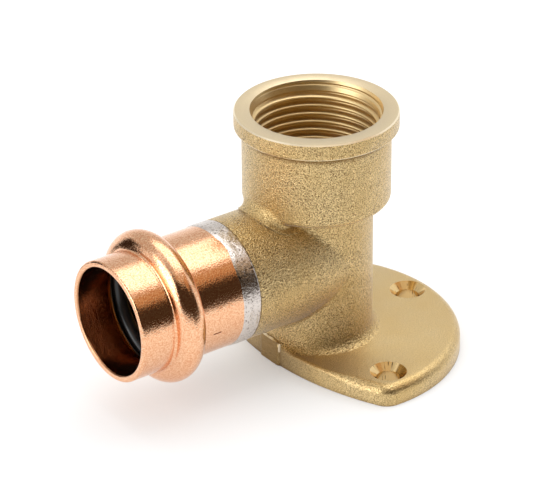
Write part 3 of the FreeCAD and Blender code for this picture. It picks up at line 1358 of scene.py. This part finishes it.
@dataclass
class BrazeBand:
    """The collar of braze over the socket's end, with the uneven edge that it froze at."""

    node: str = "braze_band"
    tube_r: float = 12.48
    rear_x: float = -23.0
    length: float = 4.3
    thickness: float = 0.2
    buried: float = 0.04
    ragged: float = 0.3
    ragged_waves: float = 2.6
    ragged_noise: tuple[float, float, int] = (0.8, 2.0, 4)
    bare: float = 0.5
    bare_deg: float = 63.0
    bare_spread_deg: float = 12.0
    lump: float = 0.03
    lumps_along: float = 0.9
    lumps_round: float = 9.0
    front_fade: float = 0.35
    rear_round: float = 0.3
    spokes: int = 288
    across: int = 28
    sharp_deg: float = 50.0

    def build(self) -> bpy.types.Object:
        """Draws the collar ring by ring.

        Returns:
            The ragged collar with its finish.
        """
        rings = self.across + 2
        points = [point for step in range(rings) for point in self.ring(step)]
        faces = ring_faces(rings, self.spokes, closed=True)
        mesh = closed_mesh("braze_collar", points, faces, self.sharp_deg)
        mesh.materials.append(FlowedSilverBraze().material())
        return add_piece(mesh, Slot.BRAZE, self.node)

    def ring(self, step: int) -> list[Point]:
        """Draws one ring of the collar.

        Args:
            step: The ring's number from the front edge. The first and the last lie inside the
                tube's wall.

        Returns:
            Its points, in millimetres.
        """
        points = []
        for spoke in range(self.spokes):
            turn = spoke / self.spokes * math.tau
            round_tube = Vector((math.cos(turn), math.sin(turn), 0)) * self.ragged_waves
            reach = held(0.5 + 0.5 * noise.fractal(round_tube, *self.ragged_noise))
            off = (math.degrees(turn) - self.bare_deg) / self.bare_spread_deg
            bare = self.bare * math.exp(-off * off)
            front = self.rear_x - self.length + bare + self.ragged * reach
            x = front + (self.rear_x - front) * held((step - 1) / (self.across - 1))
            inside = step in (0, self.across + 1)
            radius = self.tube_r + (-self.buried if inside else self.coat(x, front, turn))
            points.append((x, -radius * math.cos(turn), PIPE_Z + radius * math.sin(turn)))
        return points

    def coat(self, x: float, front: float, turn: float) -> float:
        """Works out the coat's thickness at a place.

        Args:
            x: The place along the tube, in millimetres.
            front: Where the coat's front edge is at this angle.
            turn: The angle about the tube, in radians.

        Returns:
            The thickness in millimetres.
        """
        around = self.lumps_round * math.cos(turn), self.lumps_round * math.sin(turn)
        lumps = self.lump * noise.noise(Vector((x * self.lumps_along, *around)))
        rise = 1 - math.exp(-(x - front) / self.front_fade)
        fall = math.sqrt(1 - (1 - held((self.rear_x - x) / self.rear_round)) ** 2)
        return min((self.thickness - self.lump + lumps) * rise * fall, self.thickness)


@dataclass
class SealingRing:
    """The rubber ring in the bead's groove, which keeps its solid's shape."""

    node: str = "sealing_ring"

    def build(self) -> bpy.types.Object:
        """Dresses the solid.

        Returns:
            The ring with its rubber finish.
        """
        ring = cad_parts[self.node]
        ring.material_slots[0].material = MouldedRubber().material()
        return ring


@dataclass(frozen=True)
class Card:
    """A lit or a dark card round the fitting, seen only as a reflection in the metal.

    Angles are in degrees, and the radius is in metres. Azimuth 0 is towards +X and 90 towards
    +Y. The colour is what the card sends back, so a dark one keeps the room's light off.
    """

    name: str
    azimuth: tuple[float, float]
    elevation: tuple[float, float]
    colour: str
    radius: float = 1.4
    steps: int = 16

    def build(self) -> None:
        """Stands the card up as a curved patch of paper."""
        turns = np.radians(np.linspace(*self.azimuth, self.steps))
        tilts = np.radians(np.linspace(*self.elevation, self.steps))
        tilt, turn = np.meshgrid(tilts, turns, indexing="ij")
        level = np.cos(tilt)
        points = np.stack([level * np.cos(turn), level * np.sin(turn), np.sin(tilt)], axis=-1)
        faces = []
        for row in range(self.steps - 1):
            for column in range(self.steps - 1):
                start = row * self.steps + column
                faces.append((start, start + 1, start + self.steps + 1, start + self.steps))
        mesh = bpy.data.meshes.new(self.name)
        mesh.from_pydata((points.reshape(-1, 3) * self.radius).tolist(), [], faces)
        material = start_material(f"{self.name}_paper")
        paper = add_node(material.node_tree, "Emission", {"Color": linear(self.colour)})
        add_node(material.node_tree, "OutputMaterial", {"Surface": paper})
        mesh.materials.append(material)
        card = show(self.name, mesh)
        card.visible_camera = False
        card.visible_diffuse = False
        card.visible_shadow = False


@dataclass(frozen=True)
class SoftBox:
    """A soft box that faces the fitting. Sizes and places are in metres."""

    name: str
    size: tuple[float, float]
    place: Point
    brightness: float

    def build(self) -> None:
        """Hangs the soft box, level where it is overhead, with the power for its brightness."""
        lamp = bpy.data.lights.new(self.name, "AREA")
        lamp.shape = "RECTANGLE"
        lamp.size, lamp.size_y = self.size
        lamp.energy = LAMP_WATTS * self.size[0] * self.size[1] * self.brightness
        box = show(self.name, lamp)
        box.location = self.place
        if abs(self.place[0]) > self.place[2]:
            box.rotation_euler = Vector(self.place).to_track_quat("Z", "Y").to_euler()


@dataclass
class Studio:
    """A white floor in a white room, two soft boxes, and cards for the metal to mirror."""

    floor_size: float = 6.0
    floor_drop: float = 0.0001
    floor_colour: str = "#DADADA"
    floor_glow: float = 0.24
    room_colour: str = "#FFFFFF"
    room_strength: float = 1.0
    boxes: tuple[SoftBox, ...] = (
        SoftBox("overhead_box", (1.2, 1.0), (0.40, 0.15, 1.0), 1.0),
        SoftBox("left_box", (0.9, 0.9), (-1.25, 0.1, 0.45), 1.9),
    )
    cards: tuple[Card, ...] = (
        Card("dark_room", (-160.0, -70.0), (0.0, 48.0), "#4A3D30"),
        Card("dark_corner", (-70.0, -33.0), (0.0, 35.0), "#4A3D30"),
        Card("dark_edge", (-100.0, -33.0), (0.0, 6.4), "#4A3D30", 0.19),
        Card("warm_wall", (-70.0, -25.0), (35.0, 55.0), "#D3B089"),
        Card("warm_ceiling", (-150.0, -70.0), (48.0, 66.0), "#E0CDB4"),
        Card("grey_ceiling", (-185.0, -150.0), (46.0, 76.0), "#D2CFCB"),
        Card("grey_wall", (78.0, 148.0), (15.0, 57.0), "#D7D5D2"),
        Card("grey_back", (28.0, 78.0), (18.0, 46.0), "#E2E1DF"),
        Card("black_flag", (128.0, 150.0), (0.0, 28.0), "#3A3028", 0.112),
    )

    def build(self) -> None:
        """Sets up the floor, the room, the soft boxes and the cards."""
        self.floor()
        self.room()
        for piece in (*self.boxes, *self.cards):
            piece.build()

    def floor(self) -> None:
        """Lays the pale floor just under the plate: opal acrylic with some light from below."""
        half = self.floor_size / 2
        corners = [(-half, -half), (half, -half), (half, half), (-half, half)]
        mesh = bpy.data.meshes.new("floor")
        mesh.from_pydata([(x, y, -self.floor_drop) for x, y in corners], [], [(0, 1, 2, 3)])
        material = start_material("opal_acrylic_floor")
        tree = material.node_tree
        opal = add_node(tree, "BsdfDiffuse", {"Color": linear(self.floor_colour)})
        glow = add_node(tree, "Emission", {"Strength": self.floor_glow})
        both = add_node(tree, "AddShader", {0: opal, 1: glow})
        add_node(tree, "OutputMaterial", {"Surface": both})
        mesh.materials.append(material)
        show("floor", mesh)

    def room(self) -> None:
        """Makes the room white all round."""
        world = bpy.data.worlds.new("white_room")
        world.use_nodes = True
        tree = world.node_tree
        tree.nodes.clear()
        white = {"Color": linear(self.room_colour), "Strength": self.room_strength}
        add_node(tree, "OutputWorld", {"Surface": add_node(tree, "Background", white)})
        bpy.context.scene.world = world


@dataclass
class PhotoView:
    """The camera where the photographer stood."""

    image_width_px: int = 533
    focal_px: float = 3065.2
    sensor_mm: float = 36.0
    azimuth_deg: float = -35.98
    elevation_deg: float = 28.38
    roll_deg: float = -0.47
    aim_mm: Point = (0.0, 0.0, PIPE_Z)
    side_mm: float = -10.183
    lift_mm: float = 1.680
    distance_mm: float = 624.8
    clip_mm: float = 10.0

    def build(self) -> None:
        """Stands the camera up and makes it the scene's own."""
        turn = math.radians(self.azimuth_deg)
        tilt = math.radians(self.elevation_deg)
        level, rise = math.cos(tilt), math.sin(tilt)
        back = Vector((math.sin(turn) * level, -math.cos(turn) * level, rise))
        rolled = Matrix.Rotation(math.radians(self.roll_deg), 3, back)
        right = rolled @ Vector((math.cos(turn), math.sin(turn), 0))
        up = back.cross(right)
        place = right * self.side_mm + up * self.lift_mm + back * self.distance_mm
        lens = bpy.data.cameras.new("photo_view")
        lens.sensor_width = self.sensor_mm
        lens.lens = self.focal_px * self.sensor_mm / self.image_width_px
        lens.clip_start = self.clip_mm * MM
        camera = show("photo_view", lens)
        axes = Matrix((right, up, back)).transposed().to_4x4()
        camera.matrix_world = Matrix.Translation((place + Vector(self.aim_mm)) * MM) @ axes
        bpy.context.scene.camera = camera


def main() -> None:
    """Builds and dresses every piece, then the studio and the camera."""
    logging.basicConfig(level=logging.INFO, format="%(name)s: %(message)s")
    bpy.context.scene.view_settings.view_transform = "Standard"
    casting = (CastBody(), CastBlend(), RimHem(), PlateLip(), GateBurr())
    for part in (*casting, PressSocket(), BrazeBand(), SealingRing()):
        piece = part.build()
        log.info("%s has %d faces", piece.name, len(piece.data.polygons))
    Studio().build()
    PhotoView().build()


if __name__ == "__main__":
    main()
